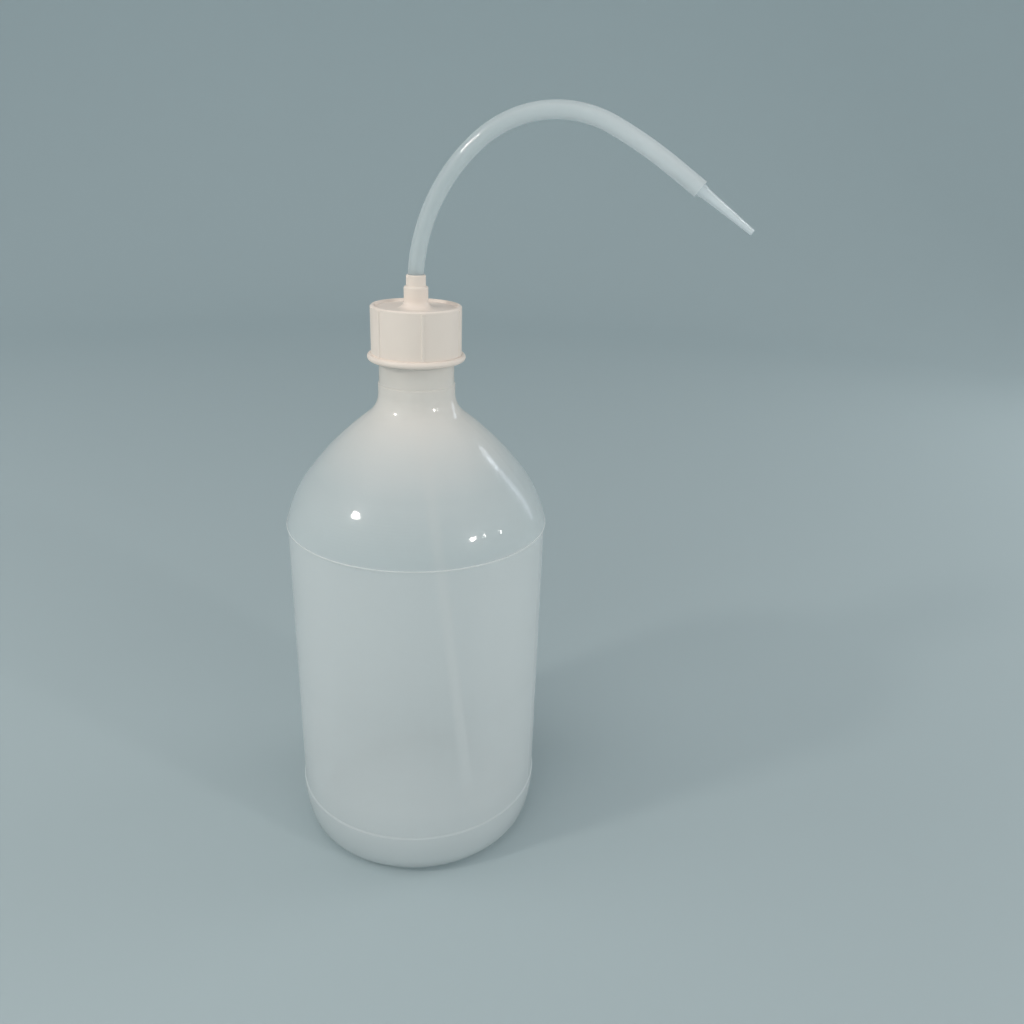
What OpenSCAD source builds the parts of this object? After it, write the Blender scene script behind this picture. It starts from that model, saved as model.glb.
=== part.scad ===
// Laboratory wash bottle: blow-moulded squeeze bottle, screw cap with a stepped spout,
// bent delivery tube with a drawn jet, and a slanting dip tube.
// The base stands on z = 0, the bottle's axis is Z and the delivery tube arches over +X.

/* [Bottle body] */
// Radius at the sharp ridge where the shoulder meets the label panel
ridge_r = 47.5; // [40:0.1:55]
// Height of the shoulder ridge
ridge_z = 130.3; // [90:0.1:170]
// Depth that the label panel is set in from the ridges
panel_recess = 0.4; // [0.1:0.05:1]
// Height of the small step at each end of the label panel
panel_step = 0.7; // [0.3:0.1:2]
// Thickness of the blown wall
wall = 1.3; // [0.8:0.1:2]

/* [Bottle base] */
// Height of the ridge at the lower end of the label panel
base_ridge_z = 18.9; // [15:0.1:24]
// Radius of the gentle curve between the base ridge and the corner
base_side_r = 56; // [40:1:120]
// Radius of the rounded bottom corner
base_corner_r = 7; // [5:0.5:10]
// Width of the flat ring that the bottle stands on
foot_w = 3; // [2:0.5:6]
// Height of the push-up at the middle of the base
push_up = 3; // [1:0.5:6]
// Length of the weld line left across the base by the mould
pinch_l = 52; // [20:1:60]
// Width of that weld line
pinch_w = 1.4; // [0.8:0.1:3]
// Height that the weld line stands out
pinch_h = 0.5; // [0.2:0.1:0.8]

/* [Bottle shoulder] */
// Lean of the shoulder from the vertical where it leaves the ridge
shoulder_lean = 12.6; // [5:0.1:20]
// Radius of the lower, rounder part of the shoulder
shoulder_low_r = 44; // [35:1:60]
// Lean at which the shoulder passes into its flatter upper part
shoulder_change = 37.2; // [30:0.1:42]
// Radius of the flatter upper part of the shoulder
shoulder_top_r = 116; // [90:1:150]
// Radius of the hollow curve between the shoulder and the neck, outside
neck_fillet_r = 10; // [6:0.5:14]
// Radius of the same curve inside
neck_fillet_in_r = 11; // [7:0.5:14]

/* [Neck] */
// Radius of the plain lower neck
neck_r = 13.5; // [13.2:0.1:16]
// Height of the plain lower neck above the shoulder curve
neck_low_h = 3.2; // [1:0.1:6]
// Radius of the neck between its lower step and the threaded part
neck_mid_r = 13.1; // [12.9:0.05:13.2]
// Height from the lower step up to the threaded part
neck_mid_h = 10; // [9:0.1:12]
// Radius of the neck wall under the thread
neck_top_r = 12.6; // [12.2:0.1:12.7]
// Height of the threaded part up to the mouth
neck_top_h = 13; // [12:0.1:15]
// Radius of the mouth and the neck's bore
mouth_r = 10.9; // [9.5:0.1:11.2]
// Rounding of the lip
lip_r = 0.4; // [0.2:0.1:0.6]

/* [Screw cap] */
// Radius of the cap's skirt between its ribs
cap_r = 15.6; // [15.3:0.1:17]
// Radius of the bore that passes over the neck
cap_bore_r = 14; // [13.9:0.05:14.2]
// Distance that the skirt reaches down below the mouth
cap_drop = 14.7; // [13:0.1:16]
// Radius of the bead round the skirt's lower edge
bead_r = 17; // [16.3:0.1:18.5]
// Height of that bead
bead_h = 2.3; // [1.6:0.1:3]
// Thickness of the cap's top plate
cap_top_t = 1.75; // [1.2:0.05:2.5]
// Height of the rim that stands round the top plate
rim_h = 0.9; // [0.6:0.1:2.5]
// Width of that rim at its top
rim_w = 1.2; // [0.9:0.1:1.4]
// Chamfer of the rim's outer edge
rim_chamfer = 0.5; // [0.2:0.1:0.7]
// Number of grip ribs
rib_count = 6; // [4:1:24]
// Radius of each half-round grip rib
rib_r = 0.7; // [0.4:0.05:0.9]
// Height that a rib stands out of the skirt
rib_proud = 0.35; // [0.2:0.05:0.5]

/* [Spout] */
// Radius of the spout's lower part
spout_r = 4.15; // [3.9:0.05:5]
// Height of the lower part above the top plate
spout_h = 7.2; // [5:0.1:9]
// Radius of the hollow curve at the spout's foot
spout_fillet_r = 2.4; // [1:0.1:3]
// Rounding of the shoulder between the spout's two parts
spout_round_r = 0.8; // [0.4:0.1:0.8]
// Wall of the narrow collar round the delivery tube
collar_wall = 0.6; // [0.5:0.05:0.8]
// Height of the collar
collar_h = 3.6; // [3:0.1:7]
// Chamfer of its upper edge
collar_chamfer = 0.3; // [0.1:0.05:0.4]
// Depth that the delivery tube goes into the spout
tube_seat = 10.8; // [8:0.1:11.5]
// Radius of the passage between the two tube sockets
passage_r = 1.3; // [1:0.1:1.4]
// Wall of the dip tube's socket under the top plate
socket_wall = 0.9; // [0.7:0.1:1.4]
// Depth of the dip tube's socket below the top plate
socket_h = 7.4; // [5:0.1:9]

/* [Sealing washer] */
// Thickness of the washer between the mouth and the cap
washer_t = 1.2; // [0.8:0.1:2]
// Radius of the washer
washer_r = 13.5; // [13:0.1:13.7]

/* [Delivery tube] */
// Radius of the delivery tube
tube_r = 2.7; // [2.4:0.05:3]
// Radius of its bore
tube_bore_r = 1.75; // [1.5:0.05:1.9]
// Bend where the tube leaves the collar: radius
bend_1_r = 20; // [12:1:30]
// The same bend: angle
bend_1_a = 6; // [3:0.5:10]
// Bend of the rising leg: radius
bend_2_r = 60; // [45:1:80]
// The same bend: angle
bend_2_a = 44; // [36:0.5:50]
// Bend over the top of the arch: radius
bend_3_r = 39; // [30:1:50]
// The same bend: angle
bend_3_a = 66; // [55:0.5:70]
// Bend of the falling leg: radius
bend_4_r = 150; // [100:5:300]
// The same bend: angle
bend_4_a = 8.5; // [6:0.5:12]
// Length of the straight end that holds the jet
tube_end_l = 9.5; // [6:0.5:15]

/* [Jet] */
// Length of the jet outside the tube
jet_l = 20; // [15:0.5:30]
// Length of the jet's stem inside the tube
jet_stem_l = 8; // [5:0.5:14]
// Radius of the collar that stops against the tube's mouth
jet_collar_r = 1.95; // [1.9:0.05:2.4]
// Length of that collar
jet_collar_l = 1.4; // [1:0.1:3]
// Outer radius at the jet's tip
jet_tip_r = 0.95; // [0.8:0.05:1.2]
// Radius of the outlet
jet_hole_r = 0.5; // [0.3:0.05:0.6]
// Radius of the bore at the stem's inner end
jet_stem_bore_r = 1; // [0.8:0.05:1.2]

/* [Dip tube] */
// Radius of the dip tube
dip_r = 2.2; // [2:0.05:2.5]
// Radius of its bore
dip_bore_r = 1.5; // [1.2:0.05:1.7]
// Length of the straight stretch below the cap
dip_straight_l = 20; // [14:0.5:26]
// Radius of the gentle bend below that
dip_bend_r = 80; // [50:5:120]
// Angle that the lower leg slants
dip_slant = 7.2; // [3:0.1:9]
// Height of its lower end above the inside of the base
dip_end_gap = 3; // [2:0.5:10]

/* [Fits] */
// Radial clearance of the delivery tube, which turns in the spout
swivel_gap = 0.05; // [0.02:0.01:0.08]
// Radial clearance of a pushed-in stem
push_gap = 0.03; // [0.01:0.01:0.05]
// Gap on each face of the washer
face_gap = 0.05; // [0.02:0.01:0.1]
// Clearance of the washer's hole round the dip tube's socket
washer_gap = 0.25; // [0.1:0.05:0.5]

/* [Hidden] */
$fn = 96;
over = 1;
tube_sides = 40;
rib_sides = 32;
hair = 0.01;
lap = 0.4;
arc_steps = 16;

panel_r = ridge_r - panel_recess;

// Shoulder: centres of its two arcs in the (radius, height) plane
low_c = [ridge_r, ridge_z] - shoulder_low_r * [cos(shoulder_lean), sin(shoulder_lean)];
top_c = low_c + (shoulder_low_r - shoulder_top_r) * [cos(shoulder_change), sin(shoulder_change)];

// Base: centres of the side curve and of the corner
side_c = [ridge_r - base_side_r, base_ridge_z];
corner_c = [side_c[0] + sqrt(pow(base_side_r - base_corner_r, 2) - pow(base_ridge_z - base_corner_r, 2)),
            base_corner_r];
corner_a = atan2(corner_c[1] - side_c[1], corner_c[0] - side_c[0]);
foot_in_r = corner_c[0] - foot_w;
pinch_z = push_up - pinch_h;

// Heights up the neck and the cap
neck_z = fillet_c(0, neck_r, neck_fillet_r)[1];
neck_mid_z = neck_z + neck_low_h;
neck_top_z = neck_mid_z + neck_mid_h;
mouth_z = neck_top_z + neck_top_h;
washer_z = mouth_z + face_gap;
cap_low_z = mouth_z - cap_drop;
cap_in_z = washer_z + washer_t + face_gap;
cap_top_z = cap_in_z + cap_top_t;
rim_z = cap_top_z + rim_h;
collar_r = tube_r + swivel_gap + collar_wall;
spout_z = cap_top_z + spout_h;
collar_z = spout_z + collar_h;
tube_z = collar_z - tube_seat;
socket_r = dip_r + push_gap + socket_wall;
socket_z = cap_in_z - socket_h;
dip_top_z = cap_in_z;
dip_end_z = push_up + wall + dip_end_gap;

// Routes of the two tubes, each bend as [radius, angle]
tube_bends = [[bend_1_r, bend_1_a], [bend_2_r, bend_2_a], [bend_3_r, bend_3_a], [bend_4_r, bend_4_a]];
dip_bends = [[dip_bend_r, dip_slant]];
dip_leg_l = (dip_top_z - dip_straight_l - dip_bend_r * sin(dip_slant) - dip_end_z) / cos(dip_slant);

// Points of an arc about c, from angle a to angle b
function arc(c, r, a, b) =
    [for (i = [0:arc_steps]) let (t = a + (b - a) * i / arc_steps) c + r * [cos(t), sin(t)]];

// Centre of the hollow curve that joins the shoulder, set in by t, to a neck of radius r
function fillet_c(t, r, f) =
    [r + f, top_c[1] + sqrt(pow(shoulder_top_r - t + f, 2) - pow(r + f - top_c[0], 2))];

// Shoulder set in by t, from the ridge to the start of a neck of radius r
function shoulder(t, r, f) =
    let (c = fillet_c(t, r, f), a = atan2(c[1] - top_c[1], c[0] - top_c[0]))
    concat(arc(low_c, shoulder_low_r - t, shoulder_lean, shoulder_change),
           arc(top_c, shoulder_top_r - t, shoulder_change, a),
           arc(c, f, a + 180, 180));

// Base set in by t, from its foot to the side
function base_side(t) =
    concat(arc(corner_c, base_corner_r - t, -90, corner_a), arc(side_c, base_side_r - t, corner_a, 0));

// Push-up of the base, raised by t, from the middle out to the foot
function push_up_curve(t) =
    let (r = (pow(foot_in_r, 2) + pow(push_up, 2)) / (2 * push_up), a = asin(foot_in_r / r))
    arc([0, push_up - r + t], r, 90, 90 - a);

function reversed(p) = [for (i = [len(p) - 1:-1:0]) p[i]];

module bottle_section() {
    outside = concat(
        push_up_curve(0),
        base_side(0),
        [[panel_r, base_ridge_z + panel_step], [panel_r, ridge_z - panel_step]],
        shoulder(0, neck_r, neck_fillet_r),
        [[neck_r, neck_mid_z], [neck_mid_r, neck_mid_z + neck_r - neck_mid_r],
         [neck_mid_r, neck_top_z], [neck_top_r, neck_top_z + neck_mid_r - neck_top_r]],
        arc([neck_top_r - lip_r, mouth_z - lip_r], lip_r, 0, 90));
    inside = concat(
        push_up_curve(wall),
        base_side(wall),
        [[panel_r - wall, base_ridge_z + panel_step], [panel_r - wall, ridge_z - panel_step - wall]],
        shoulder(wall, mouth_r, neck_fillet_in_r),
        [[mouth_r, mouth_z]]);
    polygon(concat(outside, reversed(inside)));
}

module bottle() {
    color([0.86, 0.90, 0.91])
        union() {
            rotate_extrude() bottle_section();
            // Weld line of the mould across the push-up
            translate([-pinch_l / 2, -pinch_w / 2, pinch_z]) cube([pinch_l, pinch_w, wall]);
        }
}

module sealing_washer() {
    color([0.93, 0.93, 0.90])
        translate([0, 0, washer_z])
            difference() {
                cylinder(h = washer_t, r = washer_r);
                translate([0, 0, -over]) cylinder(h = washer_t + 2 * over, r = socket_r + washer_gap);
            }
}

// Half section of the cap: skirt, bead, rim, top plate, spout and the socket below it
module cap_section() {
    bead_c = [bead_r - bead_h / 2, cap_low_z + bead_h / 2];
    polygon(concat(
        [[cap_bore_r, cap_low_z]],
        arc(bead_c, bead_h / 2, -90, 90),
        [[cap_r, cap_low_z + bead_h], [cap_r, rim_z - rim_chamfer], [cap_r - rim_chamfer, rim_z],
         [cap_r - rim_w, rim_z], [cap_r - rim_w - rim_h / 2, cap_top_z]],
        arc([spout_r + spout_fillet_r, cap_top_z + spout_fillet_r], spout_fillet_r, -90, -180),
        arc([spout_r - spout_round_r, spout_z - spout_round_r], spout_round_r, 0, 90),
        [[collar_r, spout_z], [collar_r, collar_z - collar_chamfer],
         [collar_r - collar_chamfer, collar_z], [0, collar_z], [0, socket_z],
         [socket_r, socket_z], [socket_r, cap_in_z], [cap_bore_r, cap_in_z]]));
}

module screw_cap() {
    rib_z = cap_low_z + bead_h / 2;
    rib_h = rim_z - rim_chamfer - rib_proud - rib_z;
    color([0.90, 0.88, 0.85])
        difference() {
            union() {
                rotate_extrude() cap_section();
                for (i = [0:rib_count - 1])
                    rotate(i * 360 / rib_count)
                        translate([cap_r + rib_proud - rib_r, 0, rib_z]) cylinder(h = rib_h, r = rib_r, $fn = rib_sides);
            }
            translate([0, 0, tube_z]) cylinder(h = tube_seat + over, r = tube_r + swivel_gap);
            translate([0, 0, socket_z]) cylinder(h = tube_z - socket_z + over, r = passage_r);
            translate([0, 0, socket_z - over]) cylinder(h = dip_top_z - socket_z + over, r = dip_r + push_gap);
        }
}

// Children at the end of a run of bends that starts up Z at the origin, with Z along its heading there
module at_end(bends, i = 0) {
    if (i == len(bends)) children();
    else
        translate([bends[i][0] * (1 - cos(bends[i][1])), 0, bends[i][0] * sin(bends[i][1])])
            rotate([0, bends[i][1], 0]) at_end(bends, i + 1) children();
}

// Solid rod round one bend from +Z towards +X, run on by lap at both ends
module bend_rod(r, bend, lap) {
    lap_a = lap / bend[0] * 180 / PI;
    translate([bend[0], 0, 0]) rotate([90, 0, 0])
        rotate_extrude(angle = bend[1] + 2 * lap_a, start = 180 - bend[1] - lap_a)
            translate([bend[0], 0]) circle(r);
}

// Solid rod: a straight start that ends at the origin, the bends from +Z towards +X, and a straight end.
// Every second length is a hair thinner and laps into its neighbours, so that they join in one solid.
module rod(r, start_l, bends, end_l) {
    translate([0, 0, -start_l]) cylinder(h = start_l, r = r);
    for (i = [0:len(bends) - 1])
        at_end([for (k = [0:1:i - 1]) bends[k]])
            if (i % 2 == 0) bend_rod(r - hair, bends[i], lap);
            else bend_rod(r, bends[i], 0);
    at_end(bends)
        if (len(bends) % 2 == 0) translate([0, 0, -lap]) cylinder(h = end_l + lap, r = r - hair);
        else cylinder(h = end_l, r = r);
}

// Tube of outer radius r and bore b
module bent_tube(r, b, start_l, bends, end_l) {
    difference() {
        union() rod(r, start_l, bends, end_l);
        rod(b, start_l + over, bends, end_l + over);
    }
}

module delivery_tube() {
    color([0.80, 0.88, 0.88])
        translate([0, 0, collar_z])
            bent_tube(tube_r, tube_bore_r, tube_seat, tube_bends, tube_end_l, $fn = tube_sides);
}

// Jet: a stem inside the tube, a collar against the tube's mouth and a drawn taper, with one tapered bore
module jet_tip() {
    stem_r = tube_bore_r - hair - push_gap;
    color([0.85, 0.92, 0.95])
        translate([0, 0, collar_z]) at_end(tube_bends) translate([0, 0, tube_end_l])
            difference() {
                union() {
                    translate([0, 0, -jet_stem_l]) cylinder(h = jet_stem_l + jet_collar_l, r = stem_r);
                    cylinder(h = jet_collar_l, r = jet_collar_r);
                    translate([0, 0, jet_collar_l])
                        cylinder(h = jet_l - jet_collar_l, r1 = stem_r, r2 = jet_tip_r);
                }
                translate([0, 0, -jet_stem_l - over])
                    cylinder(h = jet_stem_l + jet_l + 2 * over, r1 = jet_stem_bore_r, r2 = jet_hole_r);
            }
}

module dip_tube() {
    color([0.82, 0.88, 0.88])
        translate([0, 0, dip_top_z - dip_straight_l]) mirror([0, 0, 1])
            bent_tube(dip_r, dip_bore_r, dip_straight_l, dip_bends, dip_leg_l, $fn = tube_sides);
}

bottle();
sealing_washer();
screw_cap();
delivery_tube();
jet_tip();
dip_tube();
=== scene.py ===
"""Looks of a laboratory wash bottle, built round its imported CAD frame.

Metres, +Z up. The bottle stands on z = 0 and the delivery tube arches over +X.
"""
import math

import bpy
from mathutils import Matrix, Vector
from mathutils.bvhtree import BVHTree


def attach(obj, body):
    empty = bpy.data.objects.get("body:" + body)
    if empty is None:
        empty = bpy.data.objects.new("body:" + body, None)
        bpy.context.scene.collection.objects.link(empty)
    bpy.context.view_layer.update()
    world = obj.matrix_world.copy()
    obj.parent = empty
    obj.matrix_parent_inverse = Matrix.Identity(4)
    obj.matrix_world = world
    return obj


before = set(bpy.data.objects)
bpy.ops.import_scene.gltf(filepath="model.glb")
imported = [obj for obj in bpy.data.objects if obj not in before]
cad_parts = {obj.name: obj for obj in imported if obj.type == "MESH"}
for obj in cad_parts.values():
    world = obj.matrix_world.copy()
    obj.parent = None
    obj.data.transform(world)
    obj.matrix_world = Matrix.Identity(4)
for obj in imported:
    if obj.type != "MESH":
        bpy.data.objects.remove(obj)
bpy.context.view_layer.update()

# Camera, from the photograph's perspective
CAMERA_PLACE = Vector((0.1128, -0.2723, 0.2538))
CAMERA_HEADING = math.radians(15.67)  # turned from +Y towards -X
CAMERA_TILT = math.radians(22.45)  # looking down
CAMERA_ROLL = math.radians(2.11)
CAMERA_LENS = 29.88  # millimetres, as is the sensor
SENSOR_WIDTH = 36.0
CLIP_NEAR = 0.01
CLIP_FAR = 20.0

# Stage: a floor that curves up into a pale bowl
FLOOR_RADIUS = 1.1
FLOOR_INNER_RING = FLOOR_RADIUS * 0.5
BOWL_BEND = 0.7  # radius of the curve from the floor to the wall
BOWL_HEIGHT = 1.9
BOWL_STEPS = 16  # sections in that curve
BOWL_SIDES = 96
FLOOR_COLOR = (0.395, 0.468, 0.49)
WALL_COLOR = (0.515, 0.607, 0.632)
PALER_FROM = 0.2  # metres from the middle of the floor
PALER_TO = 1.1
SKY_COLOR = (0.97, 0.985, 1.0)
SKY_STRENGTH = 0.50

# Lamps: name, place, width and height, power in watts, colour
LAMPS = (
    ("lamp_key", (-0.36, -0.386, 0.484), (0.07, 0.07), 0.85, (1.0, 0.95, 0.88)),
    ("lamp_right", (0.845, -0.275, 0.438), (0.07, 0.045), 1.1, (1.0, 0.96, 0.91)),
    ("lamp_right_far", (0.886, -0.108, 0.42), (0.04, 0.04), 0.16, (1.0, 0.97, 0.94)),
    ("lamp_right_back", (0.895, 0.155, 0.353), (0.04, 0.04), 0.13, (1.0, 0.97, 0.94)),
    ("lamp_top", (-0.25, -0.35, 1.25), (0.9, 0.9), 2.7, (1.0, 0.98, 0.95)),
    ("lamp_front", (-0.10, -1.25, 0.50), (1.1, 0.8), 3.7, (1.0, 0.97, 0.93)),
    ("lamp_fill", (1.05, -0.55, 0.50), (0.8, 0.8), 2.1, (1.0, 0.97, 0.95)),
    ("lamp_left", (-1.15, -0.30, 0.45), (0.8, 0.8), 2.3, (1.0, 0.97, 0.95)),
    ("lamp_back", (0.95, 0.60, 0.45), (0.7, 0.7), 3.1, (1.0, 0.97, 0.95)),
    ("lamp_window", (0.75, 1.0, 0.42), (0.14, 0.8), 0.8, (0.80, 0.88, 1.0)),
    ("lamp_skylight", (0.53, 0.74, 0.63), (0.16, 0.16), 0.2, (0.86, 0.92, 1.0)),
    ("lamp_tube", (0.75, 0.0, 1.0), (0.3, 0.3), 2.5, (0.93, 0.97, 1.0)),
)
LAMP_AIM = Vector((0.0, 0.0, 0.13))
# These show as glints in the gloss, and don't light matt surfaces
REFLECTED_ONLY = {"lamp_right_far", "lamp_right_back", "lamp_window", "lamp_skylight", "lamp_tube"}
# These light the scene, and don't show in the gloss
LIGHT_ONLY = {"lamp_top", "lamp_front", "lamp_fill", "lamp_left", "lamp_back"}
LAMP_TUBE_NODES = ("delivery_tube", "jet_tip")  # the only pieces that lamp_tube shines on

# Colour of the bottle's wall at each height, and the share of light that it lets straight through:
# thin and clear just above the ridge, thick and milky at the neck. The colours also hold painted light:
# painted shade darkens the foot, and painted light brightens the neck where the cap shades it
WALL_TINTS_WITH_PAINTED_LIGHT = (
    (0.0, (0.77, 0.815, 0.825)),
    (0.03, (0.87, 0.895, 0.90)),
    (0.1296, (0.84, 0.87, 0.875)),
    (0.1306, (0.74, 0.80, 0.81)),
    (0.150, (0.77, 0.805, 0.81)),
    (0.172, (0.96, 0.92, 0.88)),
    (0.2036, (0.985, 0.93, 0.87)),
)
WALL_CLEAR = (
    (0.0, 0.30),
    (0.03, 0.36),
    (0.07, 0.50),
    (0.1296, 0.52),
    (0.1306, 0.58),
    (0.150, 0.50),
    (0.172, 0.20),
    (0.2036, 0.05),
)

# Colour of the delivery tube, from its foot to its outer end
TUBE_TINT_FROM = 0.01  # along X
TUBE_TINT_TO = 0.07
TUBE_TINT_LOW = (0.76, 0.81, 0.82)
TUBE_TINT_HIGH = (0.87, 0.905, 0.915)

# Faint unevenness of the plastics: waves a metre, and how they are stretched along X, Y and Z
RIPPLE_WAVES = 26.0  # in the milky faces
RIPPLE_STRETCH = (1.0, 1.0, 0.4)
MILKY_GLOSS_WAVES = 45.0
MILKY_GLOSS_STRAY = 0.06  # share by which the roughness strays either way
MILKY_CLOUD_WAVES = 14.0
MILKY_CLOUD_STRETCH = (1.0, 1.0, 0.5)
WHITE_CLOUD_WAVES = 90.0
WHITE_GLOSS_WAVES = 240.0
WHITE_GLOSS_STRAY = 0.1
SINK_WAVES = 160.0  # sink marks in the white faces
SINK_STRETCH = (1.0, 1.0, 0.25)
SINK_DEPTH = 0.00003
GRAIN_WAVES = 2600.0
GRAIN_DEPTH = 0.000005
NOISE_LOW = 0.3  # the noise is mostly between these two
NOISE_HIGH = 0.7

PLASTIC_IOR = 1.5
COAT_ROUGHNESS = 0.06

# Sockets of the Mix node that carry colours
MIX_LOW = 6
MIX_HIGH = 7
MIX_RESULT = 2

# Rounded edge of the ridge that ends the shoulder
RIDGE_RADIUS = 0.0473  # of its middle, round the bottle's axis
RIDGE_HEIGHT = 0.13005
RIDGE_ROUND = 0.00033
RIDGE_LOW = math.radians(-105)  # from level
RIDGE_HIGH = math.radians(70)
RIDGE_SIDES = 192
RIDGE_ROWS = 8

# Thread between the neck and the cap, right-handed
THREAD_PITCH = 0.0042
THREAD_WIDTH = 0.0022
THREAD_SINK = 0.00005  # how far its root goes into the wall
NECK_ROOT = 0.0126
NECK_CREST = 0.0137
NECK_THREAD_LOW = 0.1928
NECK_THREAD_TURNS = 1.5
CAP_ROOT = 0.0140
CAP_CREST = 0.01295
CAP_THREAD_LOW = NECK_THREAD_LOW + THREAD_PITCH / 2
CAP_THREAD_TURNS = 1.4
THREAD_RUNOUT = 0.12  # share of a turn over which it fades out at each end
THREAD_STEPS = 72  # sections a turn
THREAD_ROUND = 3  # steps from the middle of the ridge to its foot
THREAD_FULLNESS = 0.75  # power of its cross-section: 0.5 is round, 1 a parabola

# Parting line left by the mould, up both sides of the bottle
SEAM_LOW = 0.0012
SEAM_HIGH = 0.1900
SEAM_STEP = 0.0004
SEAM_HALF_WIDTH = 0.00017
SEAM_RISE = 0.00007
SEAM_REACH = 0.1  # where the rays towards the wall start


def material(name):
    """A new node material and its tree, with only the output node in it."""
    made = bpy.data.materials.new(name)
    made.use_nodes = True
    tree = made.node_tree
    tree.nodes.clear()
    tree.nodes.new("ShaderNodeOutputMaterial")
    return made, tree


def node(tree, kind, sockets=None, **settings):
    """A shader node with its settings, and its input sockets set by name or number."""
    made = tree.nodes.new(kind)
    for key, value in settings.items():
        setattr(made, key, value)
    for key, value in (sockets or {}).items():
        if isinstance(value, bpy.types.NodeSocket):
            tree.links.new(value, made.inputs[key])
        else:
            made.inputs[key].default_value = value
    return made


def own_place(tree):
    """Where a point lies in the piece's own metres, so that a pattern moves with the piece."""
    return node(tree, "ShaderNodeTexCoord").outputs["Object"]


def noise(tree, waves, detail, stretch=(1.0, 1.0, 1.0)):
    """Noise of that many waves a metre."""
    mapped = node(tree, "ShaderNodeMapping", {"Vector": own_place(tree), "Scale": stretch})
    sockets = {"Vector": mapped.outputs["Vector"], "Scale": waves, "Detail": detail}
    return node(tree, "ShaderNodeTexNoise", sockets).outputs["Fac"]


def along(tree, axis, start, end):
    """The share from 0 to 1 as a point goes from start to end along X, Y or Z."""
    parts = node(tree, "ShaderNodeSeparateXYZ", {0: own_place(tree)})
    return spread(tree, parts.outputs[axis], start, end, 0.0, 1.0)


def spread(tree, source, start, end, low, high):
    """The number that runs from low to high as source runs from start to end."""
    sockets = {"Value": source, "From Min": start, "From Max": end, "To Min": low, "To Max": high}
    return node(tree, "ShaderNodeMapRange", sockets).outputs["Result"]


def blend(tree, share, low, high):
    """The colour that runs from low to high as share runs from 0 to 1."""
    sockets = {"Factor": share, MIX_LOW: (*low, 1.0), MIX_HIGH: (*high, 1.0)}
    return node(tree, "ShaderNodeMix", sockets, data_type="RGBA").outputs[MIX_RESULT]


def banded(tree, bands):
    """The colour at each height from (height, colour) pairs, from the lowest to the highest."""
    top = bands[-1][0]
    share = along(tree, 2, 0.0, top)
    made = node(tree, "ShaderNodeValToRGB", {"Fac": share})
    stops = made.color_ramp.elements
    while len(stops) < len(bands):
        stops.new(1.0)
    for stop, (height, color) in zip(stops, bands):
        stop.position = height / top
        stop.color = (*color, 1.0)
    return made.outputs["Color"]


def levels(tree, bands):
    """The number at each height from (height, number) pairs, from the lowest to the highest."""
    return banded(tree, [(height, (level, level, level)) for height, level in bands])


def bump(tree, height, distance, below=None):
    """Bump of that height in metres, on top of the bump below."""
    sockets = {"Height": height, "Distance": distance, "Strength": 1.0}
    if below is not None:
        sockets["Normal"] = below
    return node(tree, "ShaderNodeBump", sockets).outputs["Normal"]


def uneven_gloss(tree, pattern, roughness, stray):
    """A roughness that strays from its middle by that share either way, as the pattern goes."""
    return spread(tree, pattern, NOISE_LOW, NOISE_HIGH, roughness * (1 - stray), roughness * (1 + stray))


def show(tree, shader):
    """Makes shader the surface of the material."""
    out = next(n for n in tree.nodes if n.type == "OUTPUT_MATERIAL")
    tree.links.new(shader, out.inputs["Surface"])


def milky_plastic(name, tint_of, clear_of, through, roughness, wave, coat):
    """Translucent moulded plastic, whose glossy faces scatter some light and let some straight through.

    Its colour is tint_of(tree), and clear_of(tree) the share that a face lets straight through. through is
    the share of the rest that it passes on as soft light. wave is the depth of its ripple in metres. coat is
    the index of its gloss, set high enough to make up for the share of the light that goes through.
    """
    made, tree = material(name)
    tint = tint_of(tree)
    ripple = bump(tree, noise(tree, RIPPLE_WAVES, 0.0, RIPPLE_STRETCH), wave)
    gloss = uneven_gloss(tree, noise(tree, MILKY_GLOSS_WAVES, 0.0), roughness, MILKY_GLOSS_STRAY)
    solid = node(tree, "ShaderNodeBsdfPrincipled", {
        "Base Color": tint, "Roughness": gloss, "IOR": PLASTIC_IOR, "Normal": ripple,
        "Coat Weight": 1.0, "Coat Roughness": COAT_ROUGHNESS, "Coat IOR": coat}).outputs["BSDF"]
    soft = node(tree, "ShaderNodeBsdfTranslucent", {"Color": tint, "Normal": ripple}).outputs["BSDF"]
    milk = node(tree, "ShaderNodeMixShader", {0: through, 1: solid, 2: soft}).outputs["Shader"]
    clear = node(tree, "ShaderNodeBsdfTransparent").outputs["BSDF"]
    wall = node(tree, "ShaderNodeMixShader", {0: clear_of(tree), 1: milk, 2: clear})
    show(tree, wall.outputs["Shader"])
    return made


def white_plastic(name, low, high, roughness):
    """Opaque moulded plastic, with its colour between low and high."""
    made, tree = material(name)
    clouds = spread(tree, noise(tree, WHITE_CLOUD_WAVES, 2.0), NOISE_LOW, NOISE_HIGH, 0.0, 1.0)
    tint = blend(tree, clouds, low, high)
    sink = bump(tree, noise(tree, SINK_WAVES, 2.0, SINK_STRETCH), SINK_DEPTH)
    grain = bump(tree, noise(tree, GRAIN_WAVES, 2.0), GRAIN_DEPTH, sink)
    gloss = uneven_gloss(tree, noise(tree, WHITE_GLOSS_WAVES, 2.0), roughness, WHITE_GLOSS_STRAY)
    solid = node(tree, "ShaderNodeBsdfPrincipled", {
        "Base Color": tint, "Roughness": gloss, "IOR": PLASTIC_IOR, "Normal": grain})
    show(tree, solid.outputs["BSDF"])
    return made


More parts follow.
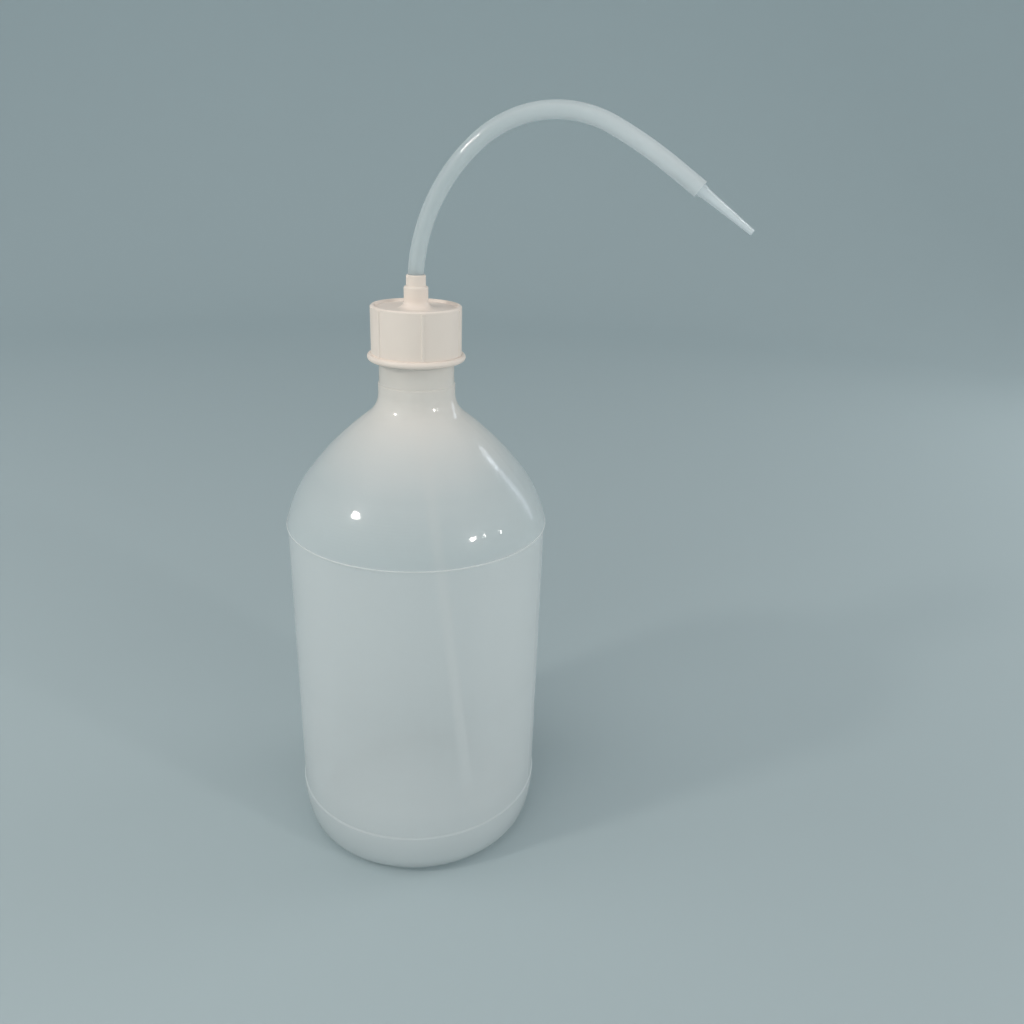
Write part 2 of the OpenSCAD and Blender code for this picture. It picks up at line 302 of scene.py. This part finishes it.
def floor_material():
    """Matt paper, paler away from the middle, where it gets less light."""
    made, tree = material("stage_floor")
    away = node(tree, "ShaderNodeVectorMath", {0: own_place(tree)}, operation="LENGTH").outputs["Value"]
    share = spread(tree, away, PALER_FROM, PALER_TO, 0.0, 1.0)
    solid = node(tree, "ShaderNodeBsdfDiffuse", {"Color": blend(tree, share, FLOOR_COLOR, WALL_COLOR)})
    show(tree, solid.outputs["BSDF"])
    return made


def mesh_piece(name, points, faces, made):
    """A smooth-shaded mesh object made of these points and faces, with one material."""
    mesh = bpy.data.meshes.new(name)
    mesh.from_pydata(points, [], faces)
    mesh.update()
    mesh.materials.append(made)
    mesh.polygons.foreach_set("use_smooth", [True] * len(mesh.polygons))
    piece = bpy.data.objects.new(name, mesh)
    bpy.context.scene.collection.objects.link(piece)
    return piece


def revolved(name, profile, sides, made):
    """A surface of revolution round Z from (radius, height) points, the first of them on the axis."""
    points = [(0.0, 0.0, profile[0][1])]
    for radius, height in profile[1:]:
        for k in range(sides):
            turn = 2 * math.pi * k / sides
            points.append((radius * math.cos(turn), radius * math.sin(turn), height))
    faces = [(0, 1 + k, 1 + (k + 1) % sides) for k in range(sides)]
    for ring in range(len(profile) - 2):
        low = 1 + ring * sides
        for k in range(sides):
            after = (k + 1) % sides
            faces.append((low + k, low + sides + k, low + sides + after, low + after))
    return mesh_piece(name, points, faces, made)


def swept(name, rows, made, capped):
    """A strip through rows of points, with its two ends closed if capped."""
    wide = len(rows[0])
    points = [point for row in rows for point in row]
    faces = []
    for k in range(len(rows) - 1):
        for i in range(wide - 1):
            a = k * wide + i
            faces.append((a, a + 1, a + wide + 1, a + wide))
    if capped:
        last = len(points) - wide
        faces += [tuple(range(wide - 1, -1, -1)), tuple(range(last, last + wide))]
    return mesh_piece(name, points, faces, made)


def thread_ridge(name, root, crest, low, turns, made):
    """A rounded helical ridge from its root radius to its crest radius, which fades out at its ends."""
    sink = math.copysign(THREAD_SINK, root - crest)
    rows = []
    steps = round(turns * THREAD_STEPS)
    for k in range(steps + 1):
        turned = turns * k / steps
        full = min(1.0, turned / THREAD_RUNOUT, (turns - turned) / THREAD_RUNOUT)
        full = math.sin(full * math.pi / 2)
        turn = 2 * math.pi * turned
        row = []
        for i in range(-THREAD_ROUND, THREAD_ROUND + 1):
            across = i / THREAD_ROUND
            stand = full * (1 - across ** 2) ** THREAD_FULLNESS
            radius = root + sink + (crest - root - sink) * stand
            height = low + THREAD_PITCH * turned + across * THREAD_WIDTH / 2
            row.append((radius * math.cos(turn), radius * math.sin(turn), height))
        rows.append(row)
    return swept(name, rows, made, capped=True)


def seam_line(name, side, made):
    """The parting line up one side of the bottle, at +X or -X, laid on the wall."""
    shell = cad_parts["bottle"].data
    wall = BVHTree.FromPolygons([v.co for v in shell.vertices], [p.vertices for p in shell.polygons])
    rows = []
    for k in range(round((SEAM_HIGH - SEAM_LOW) / SEAM_STEP) + 1):
        height = SEAM_LOW + SEAM_STEP * k
        hit = wall.ray_cast(Vector((side * SEAM_REACH, 0.0, height)), Vector((-side, 0.0, 0.0)))[0]
        reach = abs(hit.x)
        rows.append([
            (side * (reach - SEAM_RISE), -side * SEAM_HALF_WIDTH, height),
            (side * (reach + SEAM_RISE), 0.0, height),
            (side * (reach - SEAM_RISE), side * SEAM_HALF_WIDTH, height)])
    return swept(name, rows, made, capped=False)


def ridge_edge(made):
    """The rounded outer edge of the ridge, as a band round the bottle."""
    rows = []
    for k in range(RIDGE_SIDES + 1):
        turn = 2 * math.pi * k / RIDGE_SIDES
        row = []
        for i in range(RIDGE_ROWS + 1):
            lean = RIDGE_LOW + (RIDGE_HIGH - RIDGE_LOW) * i / RIDGE_ROWS
            radius = RIDGE_RADIUS + RIDGE_ROUND * math.cos(lean)
            height = RIDGE_HEIGHT + RIDGE_ROUND * math.sin(lean)
            row.append((radius * math.cos(turn), radius * math.sin(turn), height))
        rows.append(row)
    return swept("shoulder_ridge", rows, made, capped=False)


def build_stage():
    """The floor with its bowl, and an even sky."""
    bend = [(FLOOR_RADIUS + BOWL_BEND * math.sin(a), BOWL_BEND * (1 - math.cos(a)))
            for a in (math.pi / 2 * k / BOWL_STEPS for k in range(BOWL_STEPS + 1))]
    profile = [(0.0, 0.0), (FLOOR_INNER_RING, 0.0), *bend, (FLOOR_RADIUS + BOWL_BEND, BOWL_HEIGHT)]
    revolved("stage_bowl", profile, BOWL_SIDES, floor_material())
    world = bpy.data.worlds.new("sky")
    bpy.context.scene.world = world
    world.use_nodes = True
    background = next(n for n in world.node_tree.nodes if n.type == "BACKGROUND")
    background.inputs["Color"].default_value = (*SKY_COLOR, 1.0)
    background.inputs["Strength"].default_value = SKY_STRENGTH


def build_lamps():
    """Each lamp faces the middle of the bottle."""
    for name, place, (width, height), power, color in LAMPS:
        lamp = bpy.data.lights.new(name, "AREA")
        lamp.shape = "ELLIPSE"
        lamp.size = width
        lamp.size_y = height
        lamp.energy = power
        lamp.color = color
        made = bpy.data.objects.new(name, lamp)
        made.location = place
        made.rotation_mode = "QUATERNION"
        made.rotation_quaternion = (LAMP_AIM - Vector(place)).to_track_quat("-Z", "Y")
        made.visible_diffuse = name not in REFLECTED_ONLY
        made.visible_glossy = name not in LIGHT_ONLY
        bpy.context.scene.collection.objects.link(made)


def aim_lamp_tube():
    """Keeps lamp_tube off everything but the delivery tube and its jet."""
    receivers = bpy.data.collections.new("lamp_tube_receivers")
    for name in LAMP_TUBE_NODES:
        receivers.objects.link(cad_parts[name])
    bpy.data.objects["lamp_tube"].light_linking.receiver_collection = receivers


def build_camera():
    """The camera looks along its heading, tilted down, and is rolled about its own axis."""
    camera = bpy.data.cameras.new("camera")
    camera.lens = CAMERA_LENS
    camera.sensor_width = SENSOR_WIDTH
    camera.clip_start = CLIP_NEAR
    camera.clip_end = CLIP_FAR
    made = bpy.data.objects.new("camera", camera)
    turn = Matrix.Rotation(CAMERA_HEADING, 4, "Z")
    tilt = Matrix.Rotation(math.pi / 2 - CAMERA_TILT, 4, "X")
    roll = Matrix.Rotation(CAMERA_ROLL, 4, "Z")
    made.matrix_world = Matrix.Translation(CAMERA_PLACE) @ turn @ tilt @ roll
    bpy.context.scene.collection.objects.link(made)
    bpy.context.scene.camera = made


def dress(name, made):
    """Gives a CAD node its finished material."""
    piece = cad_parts[name]
    for slot in piece.material_slots:
        slot.material = made


def add(piece, body):
    """A piece of the scene goes with that body."""
    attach(piece, body)


def clouded(low, high):
    """A colour with faint unevenness, for milky_plastic."""
    return lambda tree: blend(tree, noise(tree, MILKY_CLOUD_WAVES, 0.0, MILKY_CLOUD_STRETCH), low, high)


def even(level):
    """The same number everywhere, for milky_plastic."""
    return lambda tree: level


def tube_tint(tree):
    """The delivery tube's colour, whiter towards its outer end."""
    share = along(tree, 0, TUBE_TINT_FROM, TUBE_TINT_TO)
    return blend(tree, share, TUBE_TINT_LOW, TUBE_TINT_HIGH)


def build_looks():
    """Finishes the CAD nodes, and adds the threads, the ridge's rounded edge and the mould's lines."""
    # The bottle's colour by height holds painted shade at its foot and painted light on its neck
    bottle = milky_plastic(
        "bottle_plastic", lambda tree: banded(tree, WALL_TINTS_WITH_PAINTED_LIGHT), lambda tree: levels(tree, WALL_CLEAR),
        through=0.42, roughness=0.34, wave=0.00004, coat=1.8)
    # The ridge's edge is painted whiter and less clear than the wall, as a painted highlight along the
    # shoulder's edge
    ridge = milky_plastic(
        "ridge_painted_highlight", clouded((0.93, 0.94, 0.935), (0.95, 0.95, 0.945)), even(0.3),
        through=0.4, roughness=0.34, wave=0.00004, coat=1.8)
    tube = milky_plastic(
        "tube_plastic", tube_tint, even(0.52),
        through=0.5, roughness=0.33, wave=0.00002, coat=2.1)
    dip = milky_plastic(
        "dip_tube_plastic", clouded((0.96, 0.965, 0.96), (0.975, 0.975, 0.97)), even(0.0),
        through=0.3, roughness=0.34, wave=0.00002, coat=1.2)
    jet = milky_plastic(
        "jet_plastic", clouded((0.90, 0.95, 0.97), (0.92, 0.96, 0.98)), even(0.66),
        through=0.35, roughness=0.08, wave=0.00002, coat=2.0)
    cap = white_plastic("cap_plastic", (0.775, 0.68, 0.608), (0.795, 0.70, 0.628), roughness=0.42)
    washer = white_plastic("washer_plastic", (0.84, 0.84, 0.80), (0.86, 0.86, 0.83), roughness=0.55)
    dress("bottle", bottle)
    dress("screw_cap", cap)
    dress("sealing_washer", washer)
    dress("delivery_tube", tube)
    dress("dip_tube", dip)
    dress("jet_tip", jet)
    neck_thread = thread_ridge(
        "neck_thread", NECK_ROOT, NECK_CREST, NECK_THREAD_LOW, NECK_THREAD_TURNS, bottle)
    cap_thread = thread_ridge(
        "cap_thread", CAP_ROOT, CAP_CREST, CAP_THREAD_LOW, CAP_THREAD_TURNS, cap)
    add(neck_thread, "bottle")
    add(cap_thread, "cap")
    add(ridge_edge(ridge), "bottle")
    for name, side in (("mould_seam_right", 1), ("mould_seam_left", -1)):
        add(seam_line(name, side, bottle), "bottle")


bpy.context.scene.view_settings.view_transform = "Standard"
build_camera()
build_stage()
build_lamps()
aim_lamp_tube()
build_looks()
